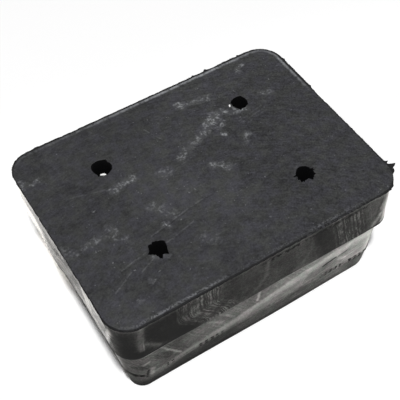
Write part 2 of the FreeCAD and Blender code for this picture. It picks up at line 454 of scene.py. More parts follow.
def add(kind, *values, tree=None, **named):
    """Adds one node, its kind followed by its operation where it has one, and fills its inputs.

    Plain values go to the inputs in their order, and a name with a capital is an input's own name. Each value
    is a number, a colour, an output to follow, or a node, whose first working output is followed. The other
    names are the node's settings. Where no tree is given, it is the one that the followed nodes are in.
    """
    inputs = dict(enumerate(values))
    settings = {}
    for name, value in named.items():
        if name[0].isupper():
            inputs[name.replace("_", " ")] = value
        else:
            settings[name] = value
    kind, _, operation = kind.partition(" ")
    if operation:
        settings["operation"] = operation
    for name, value in inputs.items():
        if isinstance(value, bpy.types.Node):
            inputs[name] = next(output for output in value.outputs if output.enabled)
    followed = [name for name, value in inputs.items() if isinstance(value, bpy.types.NodeSocket)]
    tree = tree or inputs[followed[0]].id_data
    made = tree.nodes.new("ShaderNode" + kind)
    for name, value in settings.items():
        setattr(made, name, value)
    for name, value in inputs.items():
        if name in followed:
            tree.links.new(value, made.inputs[name])
        else:
            made.inputs[name].default_value = value
    return made


def empty_tree(owner):
    """The node tree of a material or a world, with nothing in it."""
    owner.use_nodes = True
    owner.node_tree.nodes.clear()
    return owner.node_tree


def new_material(name):
    """A new material, the place on the piece in millimetres, and the way the skin faces."""
    material = bpy.data.materials.new(name)
    coordinate = add("TexCoord", tree=empty_tree(material))
    place = add("VectorMath SCALE", coordinate.outputs["Object"], Scale=1 / MM)
    return material, place, coordinate.outputs["Normal"]


# Rubbed marks on the top, each as start x, start y, end x, end y, half width, strength.
# Talc caught in the skin.
TALC_SMEARS = (
    (-2.5, 8.6, 6.5, 12.4, 0.8, 0.65), (6.5, 12.4, 14, 15.4, 1.3, 0.8), (12.5, 15.4, 17.5, 17.6, 2, 0.95),
    (15.5, 18.6, 18, 18, 0.8, 1), (15, 12.6, 17, 13.8, 0.8, 0.75), (19, 17.2, 23.4, 15.6, 0.9, 0.85),
    (23.2, 16.4, 24.4, 15.5, 0.6, 1), (25.2, 15, 26.4, 14.9, 0.4, 0.9), (8.5, 27.8, 10, 27.2, 1, 1),
    (12.2, 27, 13.2, 26.4, 0.6, 1), (14, 26.4, 19, 25.6, 1.1, 0.6), (34, 30.6, 35, 31.4, 0.7, 0.8),
    (35.8, 31.6, 36.4, 32.2, 0.4, 1), (-26.5, 8.6, -19, 9.6, 1.1, 0.85), (4.6, 0.6, 7.4, -0.8, 0.9, 0.8),
    (7.8, -2.3, 9, -2.7, 0.5, 1), (18.5, 3.2, 21, 5.4, 0.6, 0.7), (14, 9.5, 14.6, 9.3, 0.35, 1),
    (-46, 24.2, -44.4, 24.6, 0.6, 0.8), (-43, -5.6, -36.8, -5, 1, 0.55),
    (-34, -3, -32.8, -5.6, 0.8, 0.55), (-34, -8, -32, -9, 0.7, 0.5), (-19.6, -11, -18.8, -11.6, 0.4, 1),
    (-19, -3, -15.5, -9, 1.8, 0.36), (-49, -3, -47, -6, 1.2, 0.45), (-49, 26, -49, 24, 0.6, 0.9),
    (-10.5, 6.5, -8.5, 5.5, 1.6, 0.45), (-12.5, -21, -9.5, -23.5, 1.8, 0.24),
    (35, 17.8, 37, 17, 0.9, 0.55), (-32.6, -25.7, -32.4, -25.8, 0.3, 1),
    (-38.6, -29.6, -38.4, -29.8, 0.3, 1), (-27.8, -18.4, -26.8, -19.8, 0.35, 0.9),
    (-25, -20.2, -24.4, -20.4, 0.35, 0.8),
)
# Broad dull haze where hands and other pads have rubbed, most of it in the middle.
HAZE = (
    (-14, 2, 2, -12, 9, 1), (-8, -20, 6, -26, 6, 0.55), (-42, -34, -48, -26, 3, 0.95),
    (-47, -24, -46, -12, 3, 0.35), (-38, -8, -34, -14, 5, 0.5), (-14, 10, 6, 18, 6, 0.5),
    (10, 28, 44, 28, 7, 0.35), (42, -8, 38, -30, 6, 0.3), (-14, -32, -30, -34, 3, 0.45),
)
# White flecks at the rims of the two back holes.
FLECKS = (
    (-26.5, 16.14, -25.36, 15.58, 0.4, 1), (22.64, 18.5, 22.92, 19, 0.24, 1),
)
# Scratches that show paler than the skin, then those that show darker.
SCRATCHES = (
    (-6.2, 25, -3.4, 18.2, 0.16, 0.55), (-42.8, -23.8, -36, -20.2, 0.2, 0.5),
    (-38, -18.2, -28.8, -16.6, 0.16, 0.45), (-24.8, -12.5, -11.8, -9.9, 0.16, 0.5),
    (-11.8, -9.9, -1.8, -8.6, 0.14, 0.35), (-22.2, -16.8, -11.8, -14.6, 0.14, 0.35),
    (21.5, 11.4, 31.5, 13.2, 0.14, 0.3), (22.5, 10.4, 32, 12, 0.14, 0.3), (24, 9.4, 32, 10.8, 0.14, 0.25),
    (-39, 13, -28, 10, 0.14, 0.25), (-33, -21.6, -28, -19.4, 0.2, 0.4), (-12, 4, 2, 7, 0.14, 0.2),
)
GROOVES = (
    (-38.4, -18.9, -28.4, -17.6, 0.22, 0.8), (-24.6, -13, -11.8, -10.5, 0.22, 0.8),
    (-11.8, -10.5, -2, -9.2, 0.2, 0.6), (-21, -17.4, -12, -15.2, 0.18, 0.5),
    (4.2, 10.4, 3.6, 5.6, 0.5, 0.5), (10, -11, 13, -4, 1.6, 0.45), (16, 12, 18.6, 11, 0.25, 0.5),
)


def stroke(place, start, end, half_width, edge, strength):
    """How much a rubbed line shows at a place: its strength on the line, nought past half width and edge.

    The place's foot on the line is the dot product of its offset from the start with the line's direction,
    held between the two ends, and the fade is a smooth step in the distance from that foot.
    """
    line = np.array(end) - np.array(start)
    offset = add("VectorMath SUBTRACT", place, start)
    along = add("VectorMath DOT_PRODUCT", offset, (line / (line @ line)).tolist())
    held = add("Clamp", along)
    foot = add("VectorMath SCALE", line.tolist(), Scale=held)
    away = add("VectorMath DISTANCE", offset, foot)
    full = max(0.0, half_width - edge)
    return add("MapRange", away, half_width + edge, full, 0, strength, interpolation_type="SMOOTHSTEP")


def rub_marks(flat_place, marks, edge):
    """The strongest of several rubbed lines, all of them in the plane of a flat place's first two numbers."""
    result = None
    for *ends, half_width, strength in marks:
        line = stroke(flat_place, (*ends[:2], 0), (*ends[2:], 0), half_width, edge, strength)
        result = line if result is None else add("Math MAXIMUM", result, line)
    return result


def shaken(place, size, reach):
    """The place moved by noise of a given size, at most the given reach along each axis, so edges wander."""
    noise = add("TexNoise", place, Scale=1 / size, Detail=3)
    centred = add("VectorMath SUBTRACT", noise.outputs["Color"], (0.5, 0.5, 0.5))
    moved = add("VectorMath SCALE", centred, Scale=2 * reach)
    return add("VectorMath ADD", place, moved)


def inside_edge(place):
    """How far inside the block's rounded outline a place lies, in millimetres.

    The half sizes less the corner radius are taken off the place's absolute x and y. The result is the
    radius less the length of what is left, negatives cut to nought, and where both numbers left are
    negative, less the greater of the two.
    """
    flat = add("VectorMath MULTIPLY", place, (1, 1, 0))
    folded = add("VectorMath ABSOLUTE", flat)
    inner = (HALF_LENGTH - CORNER_RADIUS, HALF_WIDTH - CORNER_RADIUS, 0.0)
    past = add("VectorMath SUBTRACT", folded, inner)
    outside = add("VectorMath MAXIMUM", past, (0, 0, 0))
    reach = add("VectorMath LENGTH", outside)
    past_x, past_y, _ = add("SeparateXYZ", past).outputs
    deeper = add("Math MAXIMUM", past_x, past_y)
    inward = add("Math MINIMUM", deeper, 0)
    both = add("Math ADD", reach, inward)
    return add("Math SUBTRACT", CORNER_RADIUS, both)


def tone_along(value, stops):
    """A grey that follows a value: straight lines between given stops, and level beyond the outer two."""
    places = list(stops)
    low, high = places[0], places[-1]
    way = add("MapRange", value, low, high)
    ramp = add("ValToRGB", way)
    band = ramp.color_ramp
    for at in places[1:-1]:
        band.elements.new((at - low) / (high - low))
    for element, (at, grey) in zip(band.elements, stops.items()):
        element.position = (at - low) / (high - low)
        element.color = (grey, grey, grey, 1.0)
    return ramp


def scuffs(place):
    """Noise drawn out along wide arcs about a point off the front: 0.7 mm across and some 3.5 mm long."""
    offset = add("VectorMath SUBTRACT", place, (-22, -80, 0))
    offset_x, offset_y, _ = add("SeparateXYZ", offset).outputs
    turn = add("Math ARCTAN2", offset_y, offset_x)
    reach = add("VectorMath LENGTH", offset)
    across = add("Math MULTIPLY", reach, 1 / 0.7)
    around = add("Math MULTIPLY", turn, 80 / 3.5)
    arcs = add("CombineXYZ", across, around)
    return add("TexNoise", arcs, Scale=1, Detail=2, Roughness=0.6)


def talc(place, flat, haze):
    """Talc in specks of about 0.7 mm, clustered at 2 mm, inside smears whose edges wander.

    A few lone specks lie all over, where speck and cluster are both palest, most of them in the haze.
    """
    smears = rub_marks(shaken(flat, size=2.5, reach=1.4), TALC_SMEARS, edge=1.2)
    fleck = add("TexNoise", place, Scale=1 / 0.72, Detail=1)
    clump = add("TexNoise", place, Scale=1 / 1.9, Detail=2)
    powder = add("Math MULTIPLY_ADD", clump, 0.8, fleck)
    powder = add("MapRange", powder, 0.88, 1.26, 0.08, 0.78)
    smeared = add("Math MULTIPLY", smears, powder)
    lone = add("Math ADD", fleck, clump)
    lone = add("Math MULTIPLY_ADD", haze, 0.06, lone)
    lone = add("MapRange", lone, 1.32, 1.5, 0, 0.36)
    return add("Math MAXIMUM", smeared, lone)


def worn_bead(x, y, inside, at_front, grain, mottle):
    """The bead just inside the lip, rubbed pale: patchy at back and right; in front, bits of wear and painted
    glint.
    """
    bead = tone_along(inside, {0: 0, 0.35: 0, 0.75: 1, 1: 0.9, 1.6: 0, 2: 0})
    along_back = tone_along(x, {
        -52: 0.15, -30: 0.22, -16: 0.45, -4: 0.65, 12: 1, 28: 0.9, 44: 0.5, 52: 0.4,
    })
    along_front = tone_along(x, {
        -52: 0, -45: 0.1, -40: 0.36, -20: 0.35, -12: 0.04, 6: 0.12, 14: 0.02, 18: 0.24, 24: 0.18, 28: 0.1,
        35: 0.08, 40: 0, 52: 0,
    })
    up_right = tone_along(y, {-38: 0, 10: 0, 18: 0.7, 32: 0.9, 38: 0.5})
    at_back = add("MapRange", y, 31, 35.5)
    at_right = add("MapRange", x, 46, 48.5)
    back_rim = add("Math MULTIPLY", at_back, along_back)
    right_rim = add("Math MULTIPLY", at_right, up_right)
    rims = add("Math MAXIMUM", back_rim, right_rim)
    patchy = add("MapRange", mottle, 0.38, 0.58, 0.15, 0.75)
    rims = add("Math MULTIPLY", rims, patchy)
    bitty = add("MapRange", grain, 0.44, 0.58, 0, 0.8)
    # In front, short pale bits of wear and painted glints.
    front_wear_and_glint = add("Math MULTIPLY", at_front, along_front)
    front_wear_and_glint = add("Math MULTIPLY", front_wear_and_glint, bitty)
    rims = add("Math MAXIMUM", rims, front_wear_and_glint)
    return add("Math MULTIPLY", bead, rims)


def torn_lip(x, z, inside, at_front, grain):
    """How dark the very lip shows: painted shade along the lip's edge all round, but worn off in patches on
    the front's right half.
    """
    # Painted shade along the lip's very edge.
    dark = tone_along(inside, {-1: 1, 0.18: 1, 0.36: 0, 1: 0})
    on_top = add("MapRange", z, HEIGHT - 0.5, HEIGHT - 0.38)
    dark = add("Math MULTIPLY", dark, on_top)
    worn = tone_along(x, {-52: 0.1, 9: 0.1, 13: 0.9, 30: 0.9, 37: 0.6, 42: 0.2, 52: 0.1})
    patch = add("MapRange", grain, 0.46, 0.54)
    for share in (at_front, patch):
        worn = add("Math MULTIPLY", worn, share)
    kept = add("Math SUBTRACT", 1, worn)
    return add("Math MULTIPLY", dark, kept)


def top_rubber():
    """Moulded rubber, scuffed matt: a dull charcoal with fine grain and pale talc caught in it.

    Its tone is 1.3 of the mottle, 0.22 of a slow cloud and, growing towards the right, 0.42 to 0.7 of what
    grain and scuffs together come to over their middle. Haze lifts it and grooves lower it. Over the skin
    of that tone lie the rubbed pale marks, some of them painted glints, then the painted shade of the lip's
    very edge, then the white flecks.
    """
    material, place, _ = new_material("moulded_rubber_scuffed")
    x, y, z = add("SeparateXYZ", place).outputs
    flat = add("CombineXYZ", x, y)
    # Mottle from 3 mm down to 0.2 mm, each halving of size nearly as strong as the one before.
    mottle = add("TexNoise", place, Scale=1 / 3, Detail=4, Roughness=0.9)
    grain = add("TexNoise", place, Scale=1 / 0.55, Detail=1)
    cloud = add("TexNoise", place, Scale=1 / 14, Detail=2)
    rougher = add("MapRange", x, -10, 25, 0.42, 0.7)
    speckle = add("Math ADD", grain, scuffs(place))
    speckle = add("Math SUBTRACT", speckle, 1)
    tone = 0.0
    for part, weight in ((mottle, 1.3), (speckle, rougher), (cloud, 0.22)):
        tone = add("Math MULTIPLY_ADD", part, weight, tone)
    relief = add("Math ADD", tone, -0.46)
    haze = rub_marks(shaken(flat, size=9, reach=5), HAZE, edge=8)
    unsteady = shaken(flat, size=4, reach=0.35)
    grooves = rub_marks(unsteady, GROOVES, edge=0.22)
    skin_tone = relief
    for part, weight in ((haze, 0.20), (grooves, -0.20)):
        skin_tone = add("Math MULTIPLY_ADD", part, weight, skin_tone)
    # The skin drifts between a bluish and a greenish charcoal over 4 mm or so.
    drift = add("TexNoise", place, Scale=1 / 4, Detail=2)
    drift = add("MapRange", drift, 0.4, 0.6)
    palest = add("Mix", Factor=drift, A=linear("4D4D53"), B=linear("4D4E4D"), data_type="RGBA")
    colour = add("Mix", Factor=skin_tone, A=linear("101012"), B=palest, data_type="RGBA")
    lines = rub_marks(unsteady, SCRATCHES, edge=0.22)
    broken = add("MapRange", mottle, 0.42, 0.58, 0.03, 0.3)
    lines = add("Math MULTIPLY", lines, broken)
    inside = inside_edge(shaken(place, size=1.6, reach=0.25))
    at_front = add("MapRange", y, -31, -35.5)
    pale = talc(place, flat, haze)
    for marks in (lines, worn_bead(x, y, inside, at_front, grain, mottle)):
        pale = add("Math MAXIMUM", pale, marks)
    # The lip's edge, darkened with painted shade.
    dark = torn_lip(x, z, inside, at_front, grain)
    white = rub_marks(flat, FLECKS, edge=0.1)
    # Pale marks with painted glints, then the lip's painted shade, then the white flecks.
    for share, over in ((pale, "A8AAAD"), (dark, "030304"), (white, "F2F2F0")):
        colour = add("Mix", Factor=share, A=colour, B=linear(over), data_type="RGBA")
    bump = add("Bump", Height=relief, Strength=0.3, Distance=0.0002)
    rough = add("MapRange", mottle, 0.3, 0.7, 0.66, 0.84)
    shader = add("BsdfPrincipled", Base_Color=colour, Roughness=rough, Normal=bump,
                 Specular_IOR_Level=0.22)
    add("OutputMaterial", shader)
    return material


def facing(normal, direction, none, full):
    """How much the wall faces a direction, as the cosine between the two goes from none to full."""
    toward = add("VectorMath DOT_PRODUCT", normal, direction)
    return add("MapRange", toward, none, full, interpolation_type="SMOOTHSTEP")


def wiped_lines(across, place, spacing, seed):
    """Thin pale lines left where a finger dragged the bloom, one wherever a noise crosses its middle.

    The noise runs along one number only, so a line follows wherever that number stays the same. A line is
    full within 0.015 of the noise's middle and gone by 0.07, and a second, slower noise breaks it up.
    """
    wave = add("Math MULTIPLY_ADD", across, 1 / spacing, seed)
    noise = add("TexNoise", W=wave, Scale=1, Detail=2, Roughness=0.6, noise_dimensions="1D")
    centred = add("Math SUBTRACT", noise, 0.5)
    away = add("Math ABSOLUTE", centred)
    line = add("MapRange", away, 0.07, 0.015)
    breaks = add("TexNoise", place, Scale=1 / 4, Detail=2)
    kept = add("MapRange", breaks, 0.38, 0.58, 0.15)
    return add("Math MULTIPLY", line, kept)


def rubbed(level, place, rubs, rub_edge, smudges, smudge_edge):
    """A level with rubbed lines added and then smudged ones taken away."""
    paler = add("Math ADD", level, rub_marks(place, rubs, rub_edge))
    return add("Math SUBTRACT", paler, rub_marks(place, smudges, smudge_edge))


# Lines on the front wall, upper tier then lower: start x and z, end x and z, half width, strength. Rubs are
# paler than the wall and smudges darker. The upper tier's first rub is a painted highlight and its last
# smudge is painted shade.
UPPER_RUBS_AND_HIGHLIGHT = (
    # The first line is a painted highlight down the front left corner.
    (-42.3, 38.5, -42.9, 25.8, 1.1, 0.22), (-41.6, 28.6, -37.2, 23.6, 0.6, 0.2),
    (0.2, 36.5, 0.2, 29, 0.5, 0.1), (0.2, 29, -2.5, 24.5, 0.5, 0.08), (-2.5, 24.5, -8.5, 21.3, 0.6, 0.08),
    (16.3, 33, 16.6, 30, 0.5, 0.08), (16.6, 30, 13.8, 24, 0.5, 0.08), (11, 22.5, 16, 21.5, 0.7, 0.08),
    (41.6, 23.2, 43.4, 27.5, 0.8, 0.3), (45, 22.4, 46.8, 24.5, 0.9, 0.45),
)
UPPER_SMUDGES_AND_SHADE = (
    # The last line is painted shade under the tier's bottom edge.
    (43, 36, 41.8, 30.5, 0.6, 0.1), (41.8, 30.5, 42.4, 25, 0.6, 0.08), (-43, 21.2, -35, 21.2, 0.6, 0.3),
)
LOWER_RUBS = (
    (-36.5, 20, -30.3, 10.6, 0.35, 0.26), (-42.3, 14.6, -41.1, 15.4, 0.6, 0.2),
    (-40.3, 10.2, -40.2, 7, 0.8, 0.17), (-1.8, 19.5, -2.2, 15.5, 0.55, 0.26),
    (-16, 19.5, -11, 14, 0.3, 0.12), (-21, 19.5, -15, 14.5, 0.3, 0.1),
    (29.6, 12.4, 32.2, 11.2, 0.8, 0.16), (14, 9, 16, 13, 1, 0.1),
)
LOWER_SMUDGES = (
    (23.4, 13.2, 28, 14.4, 0.3, 0.42), (29.5, 14.3, 32.5, 14.9, 0.2, 0.26),
    (-37.5, 16, -34.5, 13, 1.6, 0.1), (-45, 13.4, -42.2, 12.4, 1.2, 0.12),
    (-41.6, 10.2, -42.1, 6.6, 0.25, 0.24),
)


def upper_front(x, z, place):
    """How bloomed the front of the upper tier looks, from nought, clean black, to one, white.

    A slow profile along the wall, and thin wiped lines, most of them in two bands. Both turn to the right
    as they come down: over the last 9 mm on the left half, and all the way from the top on the right.
    Painted light and shade are added too: a highlight and a painted reflection where the wall turns round
    the left corner, light under the flash that lifts the lip's shadow, and shade under the tier's bottom
    edge.
    """
    turn = add("MapRange", z, 31, 21.5, 0, 6, interpolation_type="SMOOTHSTEP")
    lean = add("MapRange", z, 38.5, 21.5, 0, 4)
    to_right = add("MapRange", x, 0, 16)
    shift = add("Mix", Factor=to_right, A=turn, B=lean)
    bent_x = add("Math SUBTRACT", x, shift)
    profile = tone_along(bent_x, {
        -52: 0.02, -46.5: 0.06, -44: 0.16, -41: 0.12, -38.5: 0.05, -31.5: 0.06, -28: 0.2, -25: 0.2,
        -18.5: 0.2, -13: 0.18, -7: 0.24, 0: 0.23, 5: 0.23, 12: 0.27, 15.5: 0.25, 18: 0.12, 23.5: 0.15,
        26.5: 0.18, 33: 0.2, 38: 0.31, 41: 0.39, 52: 0.39,
    })
    marks = tone_along(bent_x, {
        -52: 0, -33: 0, -30.5: 0.5, -26: 1, -17.5: 1, -14.5: 0.1, 22: 0.05, 25: 0.9, 32: 1, 35: 0.3,
        40: 0.5, 52: 0.3,
    })
    unsteady = add("TexNoise", place, Scale=1 / 2.6, Detail=2)
    across = add("Math MULTIPLY_ADD", unsteady, 1.9, bent_x)
    lines = wiped_lines(across, place, spacing=1.35, seed=4)
    lines = add("Math MULTIPLY", lines, marks)
    level = add("Math MULTIPLY_ADD", lines, 0.3, profile)
    # Painted reflection: it pales as it turns away round the left corner.
    away = tone_along(x, {-51: 0.18, -49.4: 0.18, -48.7: 0.18, -48.1: 0.09, -47.4: 0.02, -46: 0})
    level = add("Math ADD", level, away)
    # The wall is a little paler just under the flash: a pale worn line, and painted light that lifts the
    # lip's shadow.
    worn_line_and_lift = tone_along(z, {35: 0, 36.2: 0.06, 37.2: 0.15, 38.2: 0.36, 40: 0.6})
    how_pale = tone_along(x, {
        -52: 0.7, -41: 0.65, -38: 0.9, -33: 0.75, -29: 0.42, -25: 0.3, -17: 0.3, -14: 0.46, -8: 0.38,
        6: 0.38, 14: 0.42, 18: 0.62, 34: 0.56, 38: 0.64, 52: 0.64,
    })
    level = add("Math MULTIPLY_ADD", worn_line_and_lift, how_pale, level)
    flat = shaken(add("CombineXYZ", x, z), size=4, reach=0.5)
    level = rubbed(level, flat, UPPER_RUBS_AND_HIGHLIGHT, 0.9, UPPER_SMUDGES_AND_SHADE, 0.4)
    return shaded_scar_nicks(level, x, z, place)


def shaded_scar_nicks(level, x, z, place):
    """A level, darkened with painted shade in nicks some 0.9 mm long in the scar under the lip, most right of
    middle.
    """
    nick = add("TexNoise", place, Scale=1 / 0.9, Detail=1)
    low_line = add("Math MULTIPLY_ADD", nick, 2, z)
    near = tone_along(low_line, {36: 0, 36.9: 0, 37.4: 1, 38.1: 1, 38.6: 0, 41: 0})
    where = tone_along(x, {
        -52: 0.06, -2: 0.1, 3: 0.9, 11: 1, 13: 0.4, 17: 0.5, 35: 0.6, 38: 0.1, 52: 0.1,
    })
    scar = add("Math MULTIPLY", near, where)
    # Painted shade in the nicks.
    depth = add("MapRange", nick, 0.36, 0.52, 0, -0.38)
    return add("Math MULTIPLY_ADD", scar, depth, level)


def lower_front(x, z, place):
    """How bloomed the front of the lower tier looks.

    A pale streak, painted reflection over the bloom, climbs to the right along a nearly straight crest.
    Above it the wall keeps one profile and below it another, which gives way to a third under the flash
    line, with painted shade at the very foot. Fine wiped lines lean across the wall above the crest, and
    towards the right others run with the streak.
    """
    crest = add("Math MULTIPLY_ADD", x, 0.158, 12.5)
    wobble = add("TexNoise", place, Scale=1 / 9, Detail=3)
    crest = add("Math MULTIPLY_ADD", wobble, 1.4, crest)
    above = add("Math SUBTRACT", z, crest)
    upper = tone_along(x, {
        -52: 0.34, -47: 0.31, -41: 0.36, -37: 0.34, -31: 0.29, -25: 0.37, -18: 0.44, -10: 0.42, 0: 0.47,
        8: 0.54, 20: 0.59, 32: 0.71, 38: 0.82, 41.5: 1.05, 52: 1.05,
    })
    streak_bloom_and_reflection = tone_along(x, {
        -52: 0.22, -42: 0.36, -36: 0.46, -24: 0.56, -12: 0.62, 0: 0.7, 12: 0.76, 24: 0.78, 36: 0.88,
        41: 1, 52: 1,
    })
    below = tone_along(x, {
        -52: 0.1, -36: 0.24, -26: 0.26, -12: 0.4, 0: 0.52, 12: 0.5, 24: 0.44, 30: 0.58, 39: 0.66,
        42: 1.05, 52: 1.05,
    })
    foot = tone_along(x, {
        -52: 0.08, -36: 0.14, -16: 0.17, -6: 0.28, 6: 0.3, 14: 0.26, 24: 0.36, 30: 0.44, 36: 0.36,
        52: 0.5,
    })
    at_foot = add("MapRange", z, 9.5, 5.5, interpolation_type="SMOOTHSTEP")
    over = add("MapRange", above, -0.4, 1)
    # The streak: painted reflection over the bloom.
    on_reflected_streak = tone_along(above, {
        -6: 0, -3.2: 0.15, -1.6: 0.75, -0.7: 1, 0.2: 0.95, 1.1: 0.25, 2: 0, 3: 0,
    })
    level = add("Mix", Factor=at_foot, A=below, B=foot)
    # Painted shade along the very foot.
    foot_shade = add("MapRange", z, 3, 1, 0, -0.18)
    level = add("Math ADD", level, foot_shade)
    level = add("Mix", Factor=over, A=level, B=upper)
    level = add("Mix", Factor=on_reflected_streak, A=level, B=streak_bloom_and_reflection)
    under_step = tone_along(z, {18: 0, 19.6: 0, 20.3: 1, 20.8: 0.7, 21.2: 0})
    by_corner = tone_along(x, {-52: 0.34, -36: 0.32, -28: 0.04, 2: 0.05, 8: 0.12, 16: 0.1, 24: 0, 52: 0})
    level = add("Math MULTIPLY_ADD", under_step, by_corner, level)
    lean = add("Math MULTIPLY_ADD", z, 0.75, x)
    unsteady = add("TexNoise", place, Scale=1 / 3, Detail=2)
    across = add("Math MULTIPLY_ADD", unsteady, 2, lean)
    lines = wiped_lines(across, place, spacing=1.5, seed=9)
    faint = add("Math MULTIPLY", over, 0.09)
    level = add("Math MULTIPLY_ADD", lines, faint, level)
    sweep = add("Math MULTIPLY_ADD", unsteady, 0.8, above)
    sweeps = wiped_lines(sweep, place, spacing=0.9, seed=31)
    amount = tone_along(x, {-52: 0.05, -10: 0.05, 10: 0.14, 30: 0.2, 52: 0.2})
    level = add("Math MULTIPLY_ADD", sweeps, amount, level)
    flat = shaken(add("CombineXYZ", x, z), size=4, reach=0.6)
    level = rubbed(level, flat, LOWER_RUBS, 0.5, LOWER_SMUDGES, 0.5)
    return shaded_flash_nicks(level, x, z, unsteady)


def shaded_flash_nicks(level, x, z, unsteady):
    """A level, black with painted shade in nicks 2 mm apart on four stretches of the lower flash, lower at
    the right.
    """
    turning = add("Math MULTIPLY_ADD", unsteady, 1.6, x)
    turning = add("Math MULTIPLY_ADD", turning, np.pi, -1.2 * np.pi)
    tooth = add("Math SINE", turning)
    gap = add("MapRange", tooth, -0.2, 0.3)
    where = tone_along(x, {
        -52: 0, -40: 0, -35.5: 0, -35: 0.9, -33: 0.9, -32.5: 0, -24.5: 0, -23.5: 0.8, -15.5: 0.8,
        -14.5: 0, 22.7: 0, 23.7: 1, 31.7: 1, 32.2: 0.1, 33.7: 0.1, 34.2: 1, 44: 1, 45.5: 0.2, 52: 0.2,
    })
    drop = add("MapRange", x, 10, 20, 0, 0.3)
    flash_z = add("Math ADD", z, drop)
    # Painted shade in the nicks.
    nicks = tone_along(flash_z, {6: 0, 6.4: 0, 6.7: 1, 8.3: 1, 8.6: 0, 9: 0})
    for share in (where, gap):
        nicks = add("Math MULTIPLY", nicks, share)
    return add("Mix", Factor=nicks, A=level, B=0)


# Lines on the left end's upper tier, the same way in y and z.
LEFT_RUBS = (
    (-13.4, 36.5, -15.2, 25, 0.85, 0.46), (-16.2, 36, -16.9, 25, 0.95, 0.34),
    (-30.9, 35.5, -27, 24.5, 0.7, 0.5), (-12, 25.2, -25.5, 25.2, 0.8, 0.3),
    (-22.5, 25, -27, 25.2, 0.8, 0.3), (-6, 26.5, -12, 25.2, 0.7, 0.2), (-17, 34, -26, 33.6, 1, 0.22),
    (-1, 34, 13, 33.6, 0.6, 0.16),
)
LEFT_SMUDGES = (
    (25.1, 31, 8.7, 25.5, 0.6, 0.24), (31.5, 32, 29.5, 30.6, 0.9, 0.3),
    (23.5, 31.6, 20.5, 29.6, 0.8, 0.2),
)


def left_lower_bloom_and_reflection(y, place):
    """How pale the left end of the lower tier looks, from bloom and painted reflection: paler towards the
    back.
    """
    # Bloom with a painted reflection of the floor, white towards the back.
    level = tone_along(y, {
        -38: 0.24, -33: 0.36, -27: 0.42, -15: 0.45, 0: 0.46, 8: 0.66, 14: 1.1, 38: 1.1,
    })
    return shaded_under_step(level, place)


def left_upper_bloom_and_reflection(y, z, place):
    """How pale the upper tier's left end looks, bloom and painted reflection: white behind, streaked, clean
    in front.
    """
    # Bloom with a painted reflection of the floor, white towards the back.
    over = tone_along(y, {
        -38: 0.22, -33: 0.2, -29.6: 0.25, -23.6: 0.52, -17.6: 0.58, -11.6: 0.42, -5.6: 0.36, 0.4: 0.37,
        6.4: 0.42, 12.4: 0.42, 18.4: 0.52, 24.4: 0.7, 30.4: 0.95, 38: 1,
    })
    under = tone_along(y, {
        -38: 0.24, -33: 0.26, -29.6: 0.28, -23.6: 0.46, -17.6: 0.55, -11.6: 0.4, -5.6: 0.35, 0.4: 0.4,
        6.4: 0.48, 12.4: 0.6, 18.4: 0.96, 24.4: 1.1, 38: 1.1,
    })
    lower_down = add("MapRange", z, 31, 27)
    level = add("Mix", Factor=lower_down, A=over, B=under)
    lean = add("Math MULTIPLY_ADD", y, 0.16, z)
    unsteady = add("TexNoise", place, Scale=1 / 6, Detail=2)
    across = add("Math MULTIPLY_ADD", unsteady, 2, lean)
    lines = wiped_lines(across, place, spacing=1, seed=17)
    level = add("Math SUBTRACT", level, 0.05)
    level = add("Math MULTIPLY_ADD", lines, 0.4, level)
    flat = shaken(add("CombineXYZ", y, z), size=3, reach=1.3)
    level = rubbed(level, flat, LEFT_RUBS, 1.1, LEFT_SMUDGES, 1)
    return shaded_under_step(level, place)


def shaded_under_step(level, place):
    """A level, darkened by painted shade under and along the step: whole in the front half and broken behind.
    """
    _, y, z = add("SeparateXYZ", shaken(place, size=3, reach=1.3)).outputs
    # Painted shade at the bottom edge of the upper tier and the top of the lower one.
    step_shade_band = tone_along(z, {17: 0, 18: 0.2, 18.6: 1, 21.5: 1, 23: 0, 25: 0})
    where = tone_along(y, {
        -38: 0.8, -30: 1, 5: 1, 12: 0.4, 16: 0.1, 19: 0.5, 22: 0.1, 25: 0.1, 27.5: 0.75, 30: 0.6, 33: 0,
        38: 0,
    })
    step_shade = add("Math MULTIPLY", step_shade_band, where)
    return add("Mix", Factor=step_shade, A=level, B=0.02)


def corner_flash(level, place):
    """A level, black along the lower flash round the front left corner, where it rises, and on behind."""
    x, y, z = add("SeparateXYZ", shaken(place, size=5, reach=0.5)).outputs
    rise = add("MapRange", x, -43, -48.5, 0, 1.5)
    falls = add("MapRange", y, -30, -12, 1, 0.2)
    rise = add("Math MULTIPLY", rise, falls)
    height = add("Math SUBTRACT", z, rise)
    line = tone_along(height, {6: 0, 6.9: 0, 7.3: 1, 8: 1, 8.4: 0, 9.5: 0})
    round_corner = add("MapRange", x, -42.5, -43.5)
    fades = add("MapRange", y, -6, 8, 1, 0)
    breaks = add("TexNoise", place, Scale=1 / 3.2, Detail=1)
    kept = add("MapRange", breaks, 0.42, 0.54, 0.25)
    for share in (round_corner, fades, kept):
        line = add("Math MULTIPLY", line, share)
    return add("Mix", Factor=line, A=level, B=0)


def right_end(level, y, z, normal, cloud, side_level, pale_heights):
    """A level, paled from where the front right corner starts to turn, and less so towards the back."""
    facing_x, _, _ = add("SeparateXYZ", normal).outputs
    turned = add("Math MULTIPLY_ADD", cloud, 0.5, facing_x)
    right = add("MapRange", turned, 0.34, 0.72)
    height = add("Math MULTIPLY_ADD", cloud, 8, z)
    high = add("MapRange", height, *pale_heights)
    right = add("Math MULTIPLY", right, high)
    along_y = add("Math MULTIPLY_ADD", cloud, 16, y)
    end_level = tone_along(along_y, {-38: 1, -25: 0.98, -18: 0.78, -8: 0.5, 6: 0.34, 38: side_level})
    return add("Mix", Factor=right, A=level, B=end_level)


